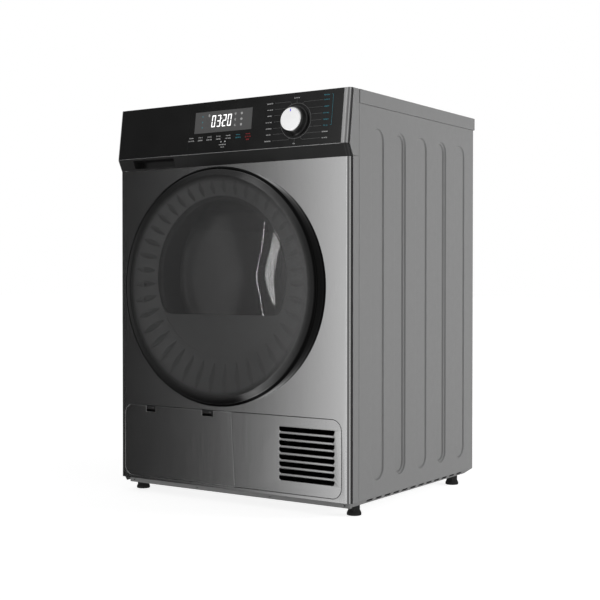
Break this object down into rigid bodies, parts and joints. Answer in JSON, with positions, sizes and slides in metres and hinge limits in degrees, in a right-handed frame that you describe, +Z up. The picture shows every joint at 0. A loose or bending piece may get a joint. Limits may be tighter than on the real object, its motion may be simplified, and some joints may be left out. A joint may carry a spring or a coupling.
{
  "type": "clothes dryer",
  "caption": "Free-standing front-loading heat-pump clothes dryer with a round smoked door, leaning black control fascia, water tank drawer and service flap.",
  "frame": {"origin": "on the floor, under the middle of the object's footprint", "axes": "+Z up, the front faces -Y, +X to the right seen from the front"},
  "size_m": [0.6, 0.624, 0.845],
  "materials": {
    "painted_steel": "satin grey paint",
    "grey_laminate": "painted board, satin grey",
    "base_moulding": "satin",
    "brushed_panel": "brushed grey steel",
    "plated_panel": "metallic paint on plastic",
    "black_gloss": "high gloss",
    "smoked_cover": "smoked gloss",
    "door_bowl_glass": "clear",
    "door_plastic": "satin",
    "dial_white": "gloss white",
    "black_plastic": "matt",
    "zinc_plate": "galvanised",
    "duct_plastic": "satin",
    "drum_steel": "bright stainless",
    "grey_plastic": "satin",
    "pale_plastic": "satin",
    "rubber": "matt",
    "circuit_board": "matt",
    "motor_metal": "cast",
    "fin_aluminium": "finned",
    "compressor_iron": "black paint"
  },
  "bodies": {
    "cabinet": {"base_tray": "base_moulding", "right_side_panel": "painted_steel", "left_side_panel": "painted_steel", "front_panel": "brushed_panel", "front_bulkhead": "black_plastic", "rear_panel": "zinc_plate", "rear_duct_cover": "duct_plastic", "worktop": "grey_laminate", "console_housing": "painted_steel", "fascia_glass": "black_gloss", "fascia_bevel": "black_gloss", "fascia_strip_right": "plated_panel", "control_board": "circuit_board", "tank_housing": "grey_plastic", "door_hinge_bracket": "zinc_plate", "door_catch": "black_plastic", "door_seal": "rubber", "grille_panel": "plated_panel", "rear_bearing": "zinc_plate", "drive_belt": "rubber", "motor": "motor_metal", "blower_housing": "grey_plastic", "evaporator": "fin_aluminium", "condenser": "fin_aluminium", "heat_exchanger_cover": "grey_plastic", "compressor": "compressor_iron", "condensate_pump": "grey_plastic", "mains_inlet": "black_plastic"},
    "door": {"door_ring": "black_gloss", "door_cover": "smoked_cover", "door_inner_frame": "door_plastic", "door_back_frame": "door_plastic", "door_glass_bowl": "door_bowl_glass", "door_hinge_leaf": "zinc_plate"},
    "programme_dial": {"dial_base": "black_gloss", "dial_cap": "dial_white"},
    "tank_drawer": {"tank_front_glass": "black_gloss", "tank_front_bevel": "black_gloss", "fascia_strip_left": "plated_panel", "water_tank": "pale_plastic"},
    "flap": {"service_flap": "plated_panel"},
    "latch_left": {"flap_latch_left": "black_plastic"},
    "latch_right": {"flap_latch_right": "black_plastic"},
    "drum": {"drum_shell": "drum_steel", "drum_front_end": "drum_steel", "drum_lifter_1": "grey_plastic", "drum_lifter_2": "grey_plastic", "drum_lifter_3": "grey_plastic"},
    "motor_shaft": {"motor_pulley": "drum_steel", "blower_impeller": "grey_plastic"},
    "idler": {"idler_pulley": "grey_plastic"},
    "roller_left": {"drum_roller_left": "rubber"},
    "roller_right": {"drum_roller_right": "rubber"},
    "lint_filter": {"lint_filter": "pale_plastic"},
    "lever_left": {"cover_lever_left": "pale_plastic"},
    "lever_right": {"cover_lever_right": "pale_plastic"},
    "foot_front_left": {"foot_front_left": "rubber"},
    "foot_front_right": {"foot_front_right": "rubber"},
    "foot_rear_left": {"foot_rear_left": "rubber"},
    "foot_rear_right": {"foot_rear_right": "rubber"}
  },
  "joints": [
    {"name": "door_hinge", "type": "hinge", "parent": "cabinet", "child": "door", "pos_m": [-0.238, -0.295, 0.455], "axis": [0, 0, -1], "range_deg": [0, 150]},
    {"name": "programme_dial_turn", "type": "hinge", "parent": "cabinet", "child": "programme_dial", "pos_m": [0.1745, -0.26946, 0.7863], "axis": [0, -0.9914, 0.131], "continuous": true},
    {"name": "tank_drawer_slide", "type": "slide", "parent": "cabinet", "child": "tank_drawer", "axis": [0, -1, 0], "range_m": [0, 0.4]},
    {"name": "flap_hinge", "type": "hinge", "parent": "cabinet", "child": "flap", "pos_m": [0, -0.258, 0.061], "axis": [1, 0, 0], "range_deg": [0, 85]},
    {"name": "latch_left_slide", "type": "slide", "parent": "flap", "child": "latch_left", "axis": [0, 0, -1], "range_m": [0, 0.005], "stiffness_N_per_m": 120},
    {"name": "latch_right_slide", "type": "slide", "parent": "flap", "child": "latch_right", "axis": [0, 0, -1], "range_m": [0, 0.005], "stiffness_N_per_m": 120},
    {"name": "drum_spin", "type": "hinge", "parent": "cabinet", "child": "drum", "pos_m": [0, 0, 0.476], "axis": [0, 1, 0], "continuous": true},
    {"name": "motor_spin", "type": "hinge", "parent": "cabinet", "child": "motor_shaft", "pos_m": [0.205, 0, 0.15], "axis": [0, 1, 0], "continuous": true},
    {"name": "idler_spin", "type": "hinge", "parent": "cabinet", "child": "idler", "pos_m": [0.095, 0, 0.1407], "axis": [0, 1, 0], "continuous": true},
    {"name": "roller_left_spin", "type": "hinge", "parent": "cabinet", "child": "roller_left", "pos_m": [-0.1724, 0, 0.2298], "axis": [0, 1, 0], "continuous": true},
    {"name": "roller_right_spin", "type": "hinge", "parent": "cabinet", "child": "roller_right", "pos_m": [0.1724, 0, 0.2298], "axis": [0, 1, 0], "continuous": true},
    {"name": "lint_filter_lift", "type": "slide", "parent": "cabinet", "child": "lint_filter", "axis": [0, 0, 1], "range_m": [0, 0.026]},
    {"name": "lever_left_turn", "type": "hinge", "parent": "cabinet", "child": "lever_left", "pos_m": [-0.238, -0.244, 0.126], "axis": [0, 1, 0], "range_deg": [0, 90]},
    {"name": "lever_right_turn", "type": "hinge", "parent": "cabinet", "child": "lever_right", "pos_m": [-0.032, -0.244, 0.126], "axis": [0, -1, 0], "range_deg": [0, 90]},
    {"name": "foot_front_left_screw", "type": "slide", "parent": "cabinet", "child": "foot_front_left", "axis": [0, 0, -1], "range_m": [0, 0.015]},
    {"name": "foot_front_right_screw", "type": "slide", "parent": "cabinet", "child": "foot_front_right", "axis": [0, 0, -1], "range_m": [0, 0.015]},
    {"name": "foot_rear_left_screw", "type": "slide", "parent": "cabinet", "child": "foot_rear_left", "axis": [0, 0, -1], "range_m": [0, 0.015]},
    {"name": "foot_rear_right_screw", "type": "slide", "parent": "cabinet", "child": "foot_rear_right", "axis": [0, 0, -1], "range_m": [0, 0.015]}
  ],
  "couplings": [
    {"joint": "motor_spin", "follows": "drum_spin", "ratio": 20},
    {"joint": "idler_spin", "follows": "drum_spin", "ratio": -15.556},
    {"joint": "roller_left_spin", "follows": "drum_spin", "ratio": -14},
    {"joint": "roller_right_spin", "follows": "drum_spin", "ratio": -14}
  ]
}
